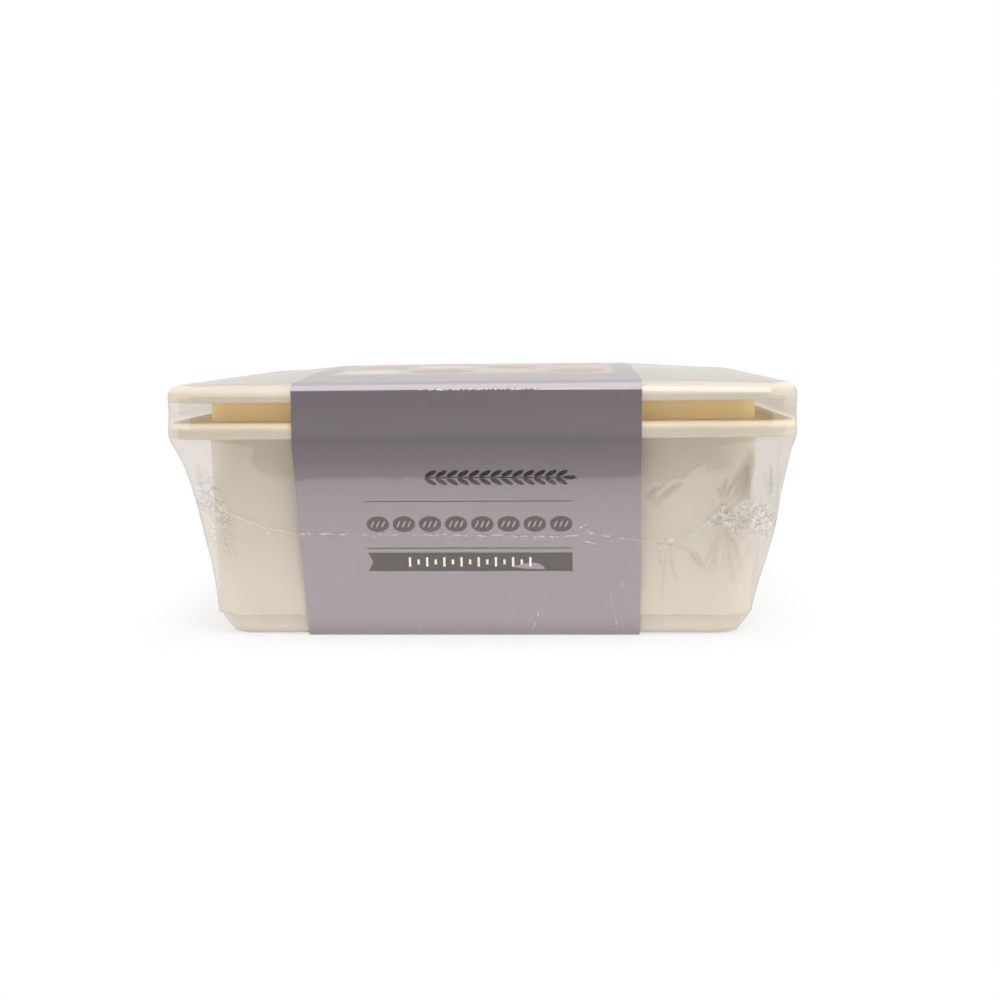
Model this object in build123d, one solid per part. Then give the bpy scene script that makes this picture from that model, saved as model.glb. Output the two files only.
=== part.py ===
from build123d import *
import math
import os

# A square dough proofing container in satin polypropylene: a tub with a wide
# rim, a lid of the same size that plugs into its mouth, a printed card sleeve
# over the middle, and the clear shrink film that holds it all together.
# All sizes are in millimetres. The tub stands on z = 0, centred on x = y = 0.
# The front of the pack faces -y.

# Outline that the rim and the lid share
outer_width = 270.0
outer_corner_radius = 18.0

# Tub, from the rim's overhang down to the foot
flange_reach = 15.5
wall_draft = 2.0
tub_corner_radius = 12.0
tub_wall = 2.2
floor_thickness = 2.6
floor_inner_radius = 3.5
foot_inset = 2.4
foot_draft = 1.0
foot_height = 9.3
foot_corner_radius = 14.0
foot_edge_radius = 5.0
standing_ring_width = 8.0
underside_recess = 1.0

# Rim of the tub
rim_height = 94.2
rim_lip_height = 7.0
rim_lip_wall = 2.2
rim_edge_radius = 3.0
rim_lip_bottom_radius = 0.8
flange_thickness = 2.4
seat_depth = 6.7
seat_ledge = 1.4
mouth_edge_radius = 0.8

# Lid
lid_gap = 8.5
lid_lip_height = 7.2
lid_lip_wall = 2.0
lid_panel_thickness = 2.2
lid_edge_radius = 5.0
lid_lip_bottom_radius = 0.7
plug_wall = 1.8
plug_corner_radius = 10.0
plug_clearance = 0.3

# Card sleeve
card_thickness = 0.5
card_width = 146.6
card_centre_x = -4.9
card_standoff = 0.25
card_fold_radius = 1.8
card_bow = 5.0
card_bottom_height = 0.3
card_foot_gap = 2.2

# Shrink film, drawn thicker than the real film so that it is a solid wall
film_thickness = 0.3
film_gap = 0.25
film_split = 0.3
film_bottom_height = 0.3

# Motion
fold_clearance = 0.1

# How far the cutting tools run past what they cut
overrun = 5.0
# How closely an edge has to lie at a height to be taken as level there
level_tolerance = 0.001

# The film falls from the rim to the top of the foot in a hollow curve. Each
# pair is a share of the height and a share of the way out to the rim.
film_fall_shares = [(0.0, 0.0), (0.15, 0.12), (0.40, 0.34), (0.65, 0.53), (0.86, 0.73), (1.0, 1.0)]
# The film steps in over this share of the foot's height, just under the wall.
film_step_share = 0.12
# The least bow that still draws as an arc, as a share of the card's bow.
flat_bow_share = 0.04

# Widths worked out from the sizes above
tub_mouth_width = outer_width - 2 * flange_reach
tub_base_width = tub_mouth_width - 2 * wall_draft
foot_top_width = tub_base_width - 2 * foot_inset
foot_bottom_width = foot_top_width - 2 * foot_draft
mouth_recess_width = tub_mouth_width - 2 * tub_wall + 2 * seat_ledge
plug_width = mouth_recess_width - 2 * plug_clearance

# Heights worked out from the sizes above
rim_lip_bottom = rim_height - rim_lip_height
seat_height = rim_height - seat_depth
lid_lip_bottom = rim_height + lid_gap
lid_top = lid_lip_bottom + lid_lip_height
lid_underside = lid_top - lid_panel_thickness

# Faces of the sleeve and the film
card_inner_half = outer_width / 2 + card_standoff
card_outer_half = card_inner_half + card_thickness
film_inner_half = card_outer_half
film_outer_half = card_outer_half + film_thickness
fold_height = lid_top - card_fold_radius
card_left = card_centre_x - card_width / 2
card_right = card_centre_x + card_width / 2


def rounded_slab(width, radius, bottom, top):
    """A square slab with round upright corners, from one height to another."""
    outline = Plane.XY.offset(bottom) * RectangleRounded(width, width, radius)
    return extrude(outline, amount=top - bottom)


def tapered_slab(sections, ruled=True):
    """A square block through rounded sections of (height, width, radius)."""
    outlines = Sketch()
    for height, width, radius in sections:
        outlines += Plane.XY.offset(height) * RectangleRounded(width, width, radius)
    return loft(outlines.faces(), ruled=ruled)


def edges_at(solid, height):
    """The edges of a solid that lie level at one height."""
    def is_level(edge):
        box = edge.bounding_box()
        return abs(box.min.Z - height) < level_tolerance and abs(box.max.Z - height) < level_tolerance
    return solid.edges().filter_by(is_level)


def block(low, high):
    """A plain block between two corners."""
    size = [high[axis] - low[axis] for axis in range(3)]
    return Pos(*low) * Box(*size, align=(Align.MIN, Align.MIN, Align.MIN))


def wall_width(height):
    """Outer width of the tapered wall at a height."""
    rise = (height - foot_height) / (rim_lip_bottom - foot_height)
    return tub_base_width + (tub_mouth_width - tub_base_width) * rise


def make_tub():
    """The tub: foot, tapered wall, collar round the seat, and flange with its lip."""
    mouth_radius = plug_corner_radius + plug_clearance
    collar_width = mouth_recess_width + 2 * tub_wall
    collar_radius = mouth_radius + tub_wall
    flange_underside = rim_height - flange_thickness

    foot = tapered_slab([
        (0, foot_bottom_width, foot_corner_radius),
        (foot_height, foot_top_width, foot_corner_radius),
    ])
    foot = fillet(edges_at(foot, 0), foot_edge_radius)
    wall = tapered_slab([
        (foot_height, tub_base_width, tub_corner_radius),
        (rim_lip_bottom, tub_mouth_width, tub_corner_radius),
    ])
    flare = tapered_slab([
        (rim_lip_bottom, tub_mouth_width, tub_corner_radius),
        (seat_height + tub_wall, collar_width, collar_radius),
    ])
    collar = rounded_slab(collar_width, collar_radius, seat_height + tub_wall, rim_height)

    rim = rounded_slab(outer_width, outer_corner_radius, rim_lip_bottom, rim_height)
    rim = fillet(edges_at(rim, rim_height), rim_edge_radius)
    rim = fillet(edges_at(rim, rim_lip_bottom), rim_lip_bottom_radius)
    lip_inner_width = outer_width - 2 * rim_lip_wall
    lip_inner_radius = outer_corner_radius - rim_lip_wall
    rim -= rounded_slab(lip_inner_width, lip_inner_radius, rim_lip_bottom - overrun, flange_underside)

    tub = foot + wall + flare + collar + rim

    foot_cavity = tapered_slab([
        (floor_thickness, foot_bottom_width - 2 * tub_wall, foot_corner_radius - tub_wall),
        (foot_height + tub_wall, foot_top_width - 2 * tub_wall, foot_corner_radius - tub_wall),
    ])
    foot_cavity = fillet(edges_at(foot_cavity, floor_thickness), floor_inner_radius)
    wall_cavity = tapered_slab([
        (foot_height + tub_wall, wall_width(foot_height + tub_wall) - 2 * tub_wall,
         tub_corner_radius - tub_wall),
        (seat_height, wall_width(seat_height) - 2 * tub_wall, tub_corner_radius - tub_wall),
    ])
    mouth = rounded_slab(mouth_recess_width, mouth_radius, seat_height, rim_height + overrun)
    tub -= foot_cavity + wall_cavity
    tub -= mouth
    mouth_edges = [edge for edge in edges_at(tub, rim_height)
                   if max(abs(edge.center().X), abs(edge.center().Y)) < collar_width / 2]
    tub = fillet(mouth_edges, mouth_edge_radius)

    recess_width = foot_bottom_width - 2 * standing_ring_width
    recess_radius = foot_corner_radius - standing_ring_width
    tub -= rounded_slab(recess_width, recess_radius, -overrun, underside_recess)
    return tub


def make_lid():
    """The lid: flat panel, down-turned lip, and the plug skirt that sits on the tub's seat."""
    lid = rounded_slab(outer_width, outer_corner_radius, lid_lip_bottom, lid_top)
    lid = fillet(edges_at(lid, lid_top), lid_edge_radius)
    lid = fillet(edges_at(lid, lid_lip_bottom), lid_lip_bottom_radius)
    hollow_width = outer_width - 2 * lid_lip_wall
    hollow_radius = outer_corner_radius - lid_lip_wall
    hollow = rounded_slab(hollow_width, hollow_radius, lid_lip_bottom - overrun, lid_underside)
    lid -= fillet(edges_at(hollow, lid_underside), lid_edge_radius - lid_lip_wall)
    skirt = rounded_slab(plug_width, plug_corner_radius, seat_height, lid_underside)
    bore_width = plug_width - 2 * plug_wall
    bore_radius = plug_corner_radius - plug_wall
    skirt -= rounded_slab(bore_width, bore_radius, seat_height - overrun, lid_underside)
    return lid + skirt


def side_points(points, distance):
    """Points of a (y, z) path moved sideways by a distance, mitred at the corners."""
    moved = []
    for index, (y, z) in enumerate(points):
        normals = []
        for start, end in zip(points[max(index - 1, 0):], points[max(index, 1):index + 2]):
            length = math.hypot(end[0] - start[0], end[1] - start[1])
            normals.append(((end[1] - start[1]) / length, -(end[0] - start[0]) / length))
        sum_y = sum(normal[0] for normal in normals)
        sum_z = sum(normal[1] for normal in normals)
        reach = distance * len(normals) / (sum_y ** 2 + sum_z ** 2)
        moved.append((y + sum_y * reach, z + sum_z * reach))
    return moved


def flap_sheet(inner_offset, outer_offset):
    """One sheet of the front flap, between two distances from the card's inner face."""
    foot_half = foot_bottom_width / 2 + card_foot_gap
    path = [
        (-card_inner_half, fold_height - fold_clearance),
        (-card_inner_half, rim_lip_bottom),
        (-foot_half, card_bottom_height),
    ]
    near_side = side_points(path, inner_offset)
    far_side = side_points(path, outer_offset)
    flat_bottom = []
    for side in (near_side, far_side):
        (upper_y, upper_z), (lower_y, lower_z) = side[1], side[2]
        run = (upper_z - card_bottom_height) / (upper_z - lower_z)
        flat_bottom.append((upper_y + (lower_y - upper_y) * run, card_bottom_height))
    corners = near_side[:2] + flat_bottom + far_side[1::-1]
    outline = make_face(Polyline(*[(0, y, z) for y, z in corners], close=True))
    sheet = extrude(outline, amount=card_width, dir=(1, 0, 0))
    return Pos(card_left, 0, 0) * sheet


def back_of(front_piece):
    """The same piece on the back of the pack."""
    return mirror(front_piece, Plane.XZ)


def fold_arc(radius, side):
    """Quarter bend of the sleeve over the lid's edge, from the fold up to the panel."""
    centre_y = side * (card_inner_half - card_fold_radius)
    half_turn = math.sqrt(0.5) * radius
    return ThreePointArc(
        (0, centre_y + side * radius, fold_height),
        (0, centre_y + side * half_turn, fold_height + half_turn),
        (0, centre_y, fold_height + radius))


def make_sleeve_top():
    """The sleeve's top panel: bowed up off the lid, and bent over its front and back edges."""
    far_radius = card_fold_radius + card_thickness
    edges = []
    for radius in (card_fold_radius, far_radius):
        front = fold_arc(radius, -1)
        back = fold_arc(radius, 1)
        bow = ThreePointArc(front @ 1, (0, 0, fold_height + radius + card_bow), back @ 1)
        edges += [front, bow, back]
    near_front, near_bow, near_back, far_front, far_bow, far_back = edges
    edges.append(Line(near_front @ 0, far_front @ 0))
    edges.append(Line(near_back @ 0, far_back @ 0))
    outline = make_face(Curve() + edges)
    panel = extrude(outline, amount=card_width, dir=(1, 0, 0))
    return Pos(card_left, 0, 0) * panel


def cap_section(x, half, bend_radius, bow):
    """Upright section of the film cap at one x, with round shoulders and a bowed top."""
    shoulder = half - bend_radius
    lift = math.sqrt(0.5) * bend_radius
    low_front = (x, -half, rim_lip_bottom)
    low_back = (x, half, rim_lip_bottom)
    front_bend = ThreePointArc(
        (x, -half, fold_height),
        (x, -shoulder - lift, fold_height + lift),
        (x, -shoulder, fold_height + bend_radius))
    back_bend = ThreePointArc(
        (x, shoulder, fold_height + bend_radius),
        (x, shoulder + lift, fold_height + lift),
        (x, half, fold_height))
    top = ThreePointArc(front_bend @ 1, (x, 0, fold_height + bend_radius + bow), back_bend @ 0)
    edges = [
        Line(low_front, front_bend @ 0), front_bend, top, back_bend,
        Line(back_bend @ 1, low_back), Line(low_back, low_front),
    ]
    return make_face(Curve() + edges)


def cap_block(half, bend_radius):
    """Solid that the film cap wraps: tented over the bowed card, round at its edges."""
    bows = [
        (-half, card_bow * flat_bow_share),
        (card_left, card_bow),
        (card_right, card_bow),
        (half, card_bow * flat_bow_share),
    ]
    tent = loft([cap_section(x, half, bend_radius, bow) for x, bow in bows], ruled=True)
    shoulder = half - bend_radius
    lift = math.sqrt(0.5) * bend_radius
    ceiling = fold_height + bend_radius + 2 * card_bow
    side_outline = Polyline(
        (shoulder, 0, fold_height + bend_radius), (shoulder, 0, ceiling),
        (-shoulder, 0, ceiling), (-shoulder, 0, fold_height + bend_radius))
    left_bend = ThreePointArc(
        side_outline @ 1,
        (-shoulder - lift, 0, fold_height + lift),
        (-half, 0, fold_height))
    right_bend = ThreePointArc(
        (half, 0, fold_height),
        (shoulder + lift, 0, fold_height + lift),
        side_outline @ 0)
    base = Polyline(left_bend @ 1, (-half, 0, rim_lip_bottom), (half, 0, rim_lip_bottom), right_bend @ 0)
    outline = make_face(Curve() + [side_outline, left_bend, base, right_bend])
    shoulders = extrude(outline, amount=half, dir=(0, 1, 0), both=True)
    corner_radius = outer_corner_radius + half - outer_width / 2
    plan = rounded_slab(2 * half, corner_radius, rim_lip_bottom, ceiling)
    return tent & shoulders & plan


def make_film_cap():
    """Film over the lid and the sleeve's top, with its skirt down past the rim."""
    near_radius = card_fold_radius + card_thickness
    far_radius = near_radius + film_thickness
    cap = cap_block(film_outer_half, far_radius) - cap_block(film_inner_half, near_radius)
    window = block(
        (card_left - film_split, -film_outer_half - overrun, rim_lip_bottom - overrun),
        (card_right + film_split, film_outer_half + overrun, fold_height))
    return cap - window


def film_block(inset):
    """Solid that the lower film wraps, drawn in by an inset."""
    wall_foot_width = tub_base_width + 2 * (film_gap + film_thickness)
    reach = 2 * film_outer_half - wall_foot_width
    top = rim_lip_bottom - film_split
    rim_corner = outer_corner_radius + film_outer_half - outer_width / 2
    wall_corner = tub_corner_radius + film_gap + film_thickness
    foot_corner = foot_corner_radius + film_gap + film_thickness
    foot_width = foot_top_width + 2 * (film_gap + film_thickness)
    step_bottom = foot_height - foot_height * film_step_share
    sections = []
    for height_share, reach_share in film_fall_shares:
        sections.append((
            foot_height + (top - foot_height) * height_share,
            wall_foot_width + reach * reach_share - 2 * inset,
            wall_corner + (rim_corner - wall_corner) * reach_share - inset))
    fall = tapered_slab(sections)
    step = tapered_slab([
        (film_bottom_height, foot_width - 2 * inset, foot_corner - inset),
        (step_bottom, foot_width - 2 * inset, foot_corner - inset),
        (foot_height, wall_foot_width - 2 * inset, wall_corner - inset),
    ])
    return fall + step


def make_side_films():
    """Film below the rim, left and right of the sleeve."""
    shell = film_block(0) - film_block(film_thickness)
    reach = film_outer_half + overrun
    left = shell & block((-reach, -reach, 0), (card_left - film_split, reach, rim_height))
    right = shell & block((card_right + film_split, -reach, 0), (reach, reach, rim_height))
    return left, right


sleeve_front = flap_sheet(0, card_thickness)
film_front = flap_sheet(card_thickness, card_thickness + film_thickness)
film_left, film_right = make_side_films()

nodes = {
    "tub": make_tub(),
    "lid": make_lid(),
    "sleeve_top": make_sleeve_top(),
    "sleeve_front": sleeve_front,
    "sleeve_back": back_of(sleeve_front),
    "film_cap": make_film_cap(),
    "film_front": film_front,
    "film_back": back_of(film_front),
    "film_left": film_left,
    "film_right": film_right,
}

os.makedirs("parts", exist_ok=True)
for name, solid in nodes.items():
    solid.label = name
    export_step(solid, f"parts/{name}.step")
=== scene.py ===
import functools
import math
import random

import bpy
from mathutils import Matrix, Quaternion, Vector, noise


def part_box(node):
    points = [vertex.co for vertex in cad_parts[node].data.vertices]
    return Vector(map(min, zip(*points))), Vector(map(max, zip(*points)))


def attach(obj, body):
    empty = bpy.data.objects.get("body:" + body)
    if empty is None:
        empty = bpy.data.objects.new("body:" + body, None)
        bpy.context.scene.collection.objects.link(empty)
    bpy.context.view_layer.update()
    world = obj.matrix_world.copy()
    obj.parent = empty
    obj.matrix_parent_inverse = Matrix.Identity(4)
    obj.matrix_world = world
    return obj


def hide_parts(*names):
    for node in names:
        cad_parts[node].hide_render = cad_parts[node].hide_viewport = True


# A square dough proofing container as it is sold: tub and lid in cream
# polypropylene, a printed card sleeve over the middle, and clear shrink film
# round everything. Metres, z up, the pack's front faces -y.
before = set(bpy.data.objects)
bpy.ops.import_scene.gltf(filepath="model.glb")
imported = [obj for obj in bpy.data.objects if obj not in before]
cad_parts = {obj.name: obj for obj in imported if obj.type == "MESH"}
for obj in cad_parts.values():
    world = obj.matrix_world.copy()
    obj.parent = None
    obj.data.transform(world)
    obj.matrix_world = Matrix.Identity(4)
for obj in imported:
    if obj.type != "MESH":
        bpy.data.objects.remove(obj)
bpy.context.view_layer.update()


# The tub. One injection moulding in natural cream polypropylene: tapered
# walls, a stepped-in foot, and a wide flange that turns down at its edge.
# The CAD shape is kept, and this section gives it the moulded plastic.
MM = 0.001
CREAM_LIGHT = "DCD7CC"
CREAM_DEEP = "D6D0C4"
# The gap's golden colour and its glow are painted light: they stand in for light that comes through the
# plastic.
PAINTED_GAP_GOLD = "E1CD9C"
PAINTED_GLOW_GOLD = "FFE3A8"
PAINTED_GLOW_STRENGTH = 0.18
MOULD_GRAIN = 0.7 * MM
FLOW_CLOUD = 70 * MM
LID_LIP = 7.2 * MM
tub_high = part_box("tub")[1]
lid_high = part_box("lid")[1]
lip_bottom = lid_high.z - LID_LIP
# Where the gap's painted golden colour and painted glow begin and end. They stand in for light that comes
# through the plastic. The constants give how far in from the rim's edge, and at which heights, from the
# rim's top or from the lid's.
# The shoulder heights bound the painted glow on the rim's shoulder.
GAP_EDGE = 1 * MM
GAP_DEEP = 16 * MM
GAP_FLOOR = (-0.15 * MM, 0.1 * MM)
GAP_BRIGHTER = 1 * MM
GAP_ROOF = (-2.2 * MM, -1.9 * MM)
SHOULDER_FOOT = (-4 * MM, -1.2 * MM)
SHOULDER_TOP = (-0.5 * MM, -0.1 * MM)


def linear(hex_colour):
    """An sRGB hex colour as the linear values that a shader takes."""
    channels = [int(hex_colour[start:start + 2], 16) / 255 for start in (0, 2, 4)]
    straight = [c / 12.92 if c <= 0.04045 else ((c + 0.055) / 1.055) ** 2.4 for c in channels]
    return (*straight, 1.0)


def add_node(tree, kind, inputs=None, **settings):
    """Adds a shader node. Each input is a value, a colour in hex, or what is linked
    to it: a socket, or a node, whose first output in use is then taken."""
    node = tree.nodes.new("ShaderNode" + kind)
    for name, value in settings.items():
        setattr(node, name, value)
    for name, value in (inputs or {}).items():
        if isinstance(value, str):
            value = linear(value)
        if isinstance(value, bpy.types.Node):
            value = next(output for output in value.outputs if output.enabled)
        if isinstance(value, bpy.types.NodeSocket):
            tree.links.new(value, node.inputs[name])
        else:
            node.inputs[name].default_value = value
    return node


def new_material(name):
    """An empty node material: the material, add_node for its tree, and the place
    on the object, which the patterns are laid out by."""
    material = bpy.data.materials.new(name)
    material.use_nodes = True
    material.node_tree.nodes.clear()
    add = functools.partial(add_node, material.node_tree)
    return material, add, add("TexCoord").outputs["Object"]


def square_reach(add, place):
    """A place's axes, and how far out it lies from the middle along x or y."""
    axes = add("SeparateXYZ", {"Vector": place}).outputs
    side = add("Math", {0: axes["X"]}, operation="ABSOLUTE")
    front = add("Math", {0: axes["Y"]}, operation="ABSOLUTE")
    return axes, add("Math", {0: side, 1: front}, operation="MAXIMUM")


def moulded_polypropylene(name):
    """Natural polypropylene, satin from a spark-eroded mould: a fine grain, drawn
    coarser than the real one so that it shows, that spreads highlights, faint
    clouds where it flowed in from the gate, and light that soaks in. Deep in the
    gap under the lid it is painted golden and given a faint painted glow, which
    stand in for light that comes through the plastic there. The painted glow also lies on the rim's
    shoulder."""
    material, add, place = new_material(name)
    grain = add("TexNoise", {"Vector": place, "Scale": 1 / MOULD_GRAIN, "Detail": 2.0})
    clouds = add("TexNoise", {"Vector": place, "Scale": 1 / FLOW_CLOUD, "Detail": 3.0})
    colour = add("Mix", {"Factor": clouds, 6: CREAM_LIGHT, 7: CREAM_DEEP}, data_type="RGBA")
    sheen = add("MapRange", {"Value": clouds, "To Min": 0.28, "To Max": 0.38})
    bump = add("Bump", {"Height": grain, "Strength": 0.1, "Distance": 0.03 * MM})
    # The gap lies between the tub's rim and the lid's lip, behind their edges.
    axes, out = square_reach(add, place)
    behind_edge = add("MapRange", {"Value": out, "From Min": tub_high.x - GAP_EDGE,
        "From Max": tub_high.x - GAP_DEEP}, interpolation_type="SMOOTHSTEP")
    over_rim = add("MapRange", {"Value": axes["Z"], "From Min": tub_high.z + GAP_FLOOR[0],
        "From Max": tub_high.z + GAP_FLOOR[1]})
    below_panel = add("MapRange", {"Value": axes["Z"], "From Min": lid_high.z + GAP_ROOF[1],
        "From Max": lid_high.z + GAP_ROOF[0]})
    in_gap = add("Math", {0: over_rim, 1: below_panel}, operation="MULTIPLY")
    # Painted light: where the gap is painted golden and given a painted glow.
    painted_glow_mask = add("Math", {0: in_gap, 1: behind_edge}, operation="MULTIPLY")
    higher = add("MapRange", {"Value": axes["Z"], "From Min": tub_high.z + GAP_BRIGHTER,
        "From Max": lip_bottom, "To Min": 0.35, "To Max": 1.0})
    bright = add("Math", {0: painted_glow_mask, 1: higher}, operation="MULTIPLY")
    # A painted glow along the rim's shoulder.
    up_shoulder = add("MapRange", {"Value": axes["Z"], "From Min": tub_high.z + SHOULDER_FOOT[0],
        "From Max": tub_high.z + SHOULDER_FOOT[1]}, interpolation_type="SMOOTHSTEP")
    under_top = add("MapRange", {"Value": axes["Z"], "From Min": tub_high.z + SHOULDER_TOP[1],
        "From Max": tub_high.z + SHOULDER_TOP[0]})
    shoulder = add("Math", {0: up_shoulder, 1: under_top}, operation="MULTIPLY")
    bright = add("Math", {0: bright, 1: shoulder}, operation="MAXIMUM")
    strength = add("Math", {0: bright, 1: PAINTED_GLOW_STRENGTH}, operation="MULTIPLY")
    painted_gold_colour = add("Mix", {"Factor": painted_glow_mask, 6: colour, 7: PAINTED_GAP_GOLD}, data_type="RGBA")
    plastic = add("BsdfPrincipled", {"Base Color": painted_gold_colour, "Roughness": sheen, "IOR": 1.49,
        "Subsurface Weight": 1.0, "Subsurface Radius": (1.0, 0.75, 0.45), "Subsurface Scale": 4 * MM,
        "Emission Color": PAINTED_GLOW_GOLD, "Emission Strength": strength, "Normal": bump})
    add("OutputMaterial", {"Surface": plastic})
    return material


def finish_cad_node(node, material):
    """Gives a CAD node's mesh its finish."""
    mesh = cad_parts[node].data
    mesh.materials.clear()
    mesh.materials.append(material)


polypropylene = moulded_polypropylene("natural polypropylene, moulded satin")
finish_cad_node("tub", polypropylene)


# The lid. The same polypropylene, moulded as wide as the rim, with a lip that
# turns down and a plug skirt that stands in the tub's mouth. The skirt is the
# golden band in the gap between rim and lip, painted golden and given a painted
# glow by the polypropylene's finish.
finish_cad_node("lid", polypropylene)


# The card sleeve. One sheet of coated card, printed mauve-grey, creased over
# the lid's front and back edges. It is sprung: its top bows up off the lid,
# and its flaps bend softly at the rim and lean in towards the foot.
CARD_THICKNESS = 0.5 * MM
CARD_STEP = 2.0 * MM
CARD_MAUVE = "A9A1A9"
CARD_MAUVE_DEEP = "A49CA4"
CARD_CORE = "E4DFDB"
CARD_SILVER = 0.6
FIBRE_SIZE = 0.35 * MM
BLOTCH_SIZE = 45 * MM
WAVE_DEPTH = 0.12 * MM
WAVE_WIDTH, WAVE_HEIGHT = 60 * MM, 40 * MM
# The card's foot is painted darker, a painted contact shade.
CARD_FOOT_SHADE = "8E878E"
FOOT_SHADE_HEIGHT = 9 * MM
# The bend above the fold is a little paler. The ink is worn off along the fold
# itself, in nicks that start left of the middle. Further right they are joined
# into a continuous white line, a painted highlight along the fold.
PALE_SHARE = 0.13
PALE_START = (0.1 * MM, 0.6 * MM)
PALE_END = (2.4 * MM, 3.6 * MM)
NICK_SIZE = 1.3 * MM
NICK_REACH = (0.22 * MM, 0.45 * MM)
NICK_LINE = 0.49 * MM
WEAR_FROM = -45 * MM
WEAR_TO = -20 * MM
# From here rightwards the worn nicks are joined into a painted highlight line.
HIGHLIGHT_LINE_START = 25 * MM
HIGHLIGHT_LINE_FULL = 33 * MM
# The flaps' bend at the rim and their lean, the fold, and the bow behind it.
BEND_RADIUS = 14 * MM
BEND_STEPS = 8
FOOT_FACE = 116.8 * MM
FOLD_RADIUS = 0.7 * MM
FOLD_DROP = 0.7 * MM
FOLD_STEPS = 5
SHOULDER_RISE = 2.2 * MM
SHOULDER_REACH = 1.8 * MM
TOP_ROWS = 150
ROWS_AT_EDGES = 0.35
BOW_SLACK = 0.12
FILM_ROOM = 0.1 * MM
# The left edge lies a little further out than the solid's and is cut slanted
# towards the foot. The fold stands up, more so towards the right.
LEFT_SHIFT = 0.5 * MM
CARD_TRIM = 2.8 * MM
TRIM_START = 82 * MM
FOLD_RAISE = 0.15 * MM
FOLD_TILT = 0.7 * MM
fold_low, fold_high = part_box("sleeve_top")
flap_low, flap_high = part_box("sleeve_front")
card_left, card_right = flap_low.x - LEFT_SHIFT, flap_high.x
card_middle = (card_left + card_right) / 2
card_half = (card_right - card_left) / 2
fold_height = fold_low.z - FOLD_DROP
card_face = -fold_low.y
card_bottom = flap_low.z
rim_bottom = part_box("film_cap")[0].z


def rounded_bend(before, corner, after, radius):
    """Points of the flap's bend: an arc that is tangent to the runs on both sides."""
    to_before = (before - corner).normalized()
    to_after = (after - corner).normalized()
    half_angle = to_before.angle(to_after) / 2
    reach = radius / math.tan(half_angle)
    centre = corner + (to_before + to_after).normalized() * (radius / math.sin(half_angle))
    start = corner + to_before * reach - centre
    end = corner + to_after * reach - centre
    turn = start.angle(end)
    points = []
    for step in range(BEND_STEPS + 1):
        share = step / BEND_STEPS
        start_part = math.sin((1 - share) * turn) / math.sin(turn)
        end_part = math.sin(share * turn) / math.sin(turn)
        points.append(centre + start * start_part + end * end_part)
    return points


def even_points(points, step):
    """A path's points at even steps along it."""
    lengths = [0.0]
    for start, end in zip(points, points[1:]):
        lengths.append(lengths[-1] + (end - start).length)
    count = max(2, round(lengths[-1] / step))
    even = []
    run = 0
    for index in range(count + 1):
        target = lengths[-1] * index / count
        while run < len(points) - 2 and lengths[run + 1] < target:
            run += 1
        share = (target - lengths[run]) / (lengths[run + 1] - lengths[run])
        even.append(points[run].lerp(points[run + 1], share))
    return even


def flap_left(height):
    """The flap's left edge at a height: it is cut slightly slanted towards the foot."""
    return card_left + CARD_TRIM * max(0.0, 1 - height / TRIM_START)


def fold_rise(x, share):
    """How far the card is raised at x, for a share of the way from the rim to the fold."""
    return (FOLD_RAISE + FOLD_TILT * (x - card_left) / (2 * card_half)) * max(0.0, share)


def flap_line():
    """The front flap's face in (y, z), from the fold down to its foot."""
    top = Vector((-card_face, fold_height))
    bend = Vector((-card_face, rim_bottom))
    bottom = Vector((-FOOT_FACE, card_bottom))
    return even_points([top, *rounded_bend(top, bend, bottom, BEND_RADIUS), bottom], CARD_STEP)


def flap_depth(height):
    """How far out from the middle the flap's face lies at a height."""
    for upper, lower in zip(FLAP_FACE, FLAP_FACE[1:]):
        if lower.y <= height <= upper.y:
            share = (height - lower.y) / (upper.y - lower.y)
            return -(lower.x + (upper.x - lower.x) * share)
    return -FLAP_FACE[0].x if height > FLAP_FACE[0].y else -FLAP_FACE[-1].x


def mesh_piece(name, vertices, faces, material, smooth=True):
    """A mesh object from vertices and faces, in the row frame."""
    mesh = bpy.data.meshes.new(name)
    mesh.from_pydata([tuple(vertex) for vertex in vertices], [], faces)
    mesh.validate()
    mesh.materials.append(material)
    mesh.polygons.foreach_set("use_smooth", [smooth] * len(mesh.polygons))
    mesh.update()
    piece = bpy.data.objects.new(name, mesh)
    bpy.context.scene.collection.objects.link(piece)
    return piece


def grid_faces(rows, columns, flip=False):
    """Quads of a grid of vertices that is held row by row."""
    faces = []
    for row in range(rows - 1):
        for column in range(columns - 1):
            corner = row * columns + column
            face = (corner, corner + columns, corner + columns + 1, corner + 1)
            faces.append(face[::-1] if flip else face)
    return faces


def thicken(piece, thickness):
    """Gives a sheet its thickness, inwards from its face, with crisp cut edges."""
    solidify = piece.modifiers.new("thickness", "SOLIDIFY")
    solidify.thickness = thickness
    solidify.offset = -1.0
    solidify.use_even_offset = True
    crisp = piece.modifiers.new("crisp edges", "EDGE_SPLIT")
    crisp.split_angle = math.radians(60)
    return piece


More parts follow.
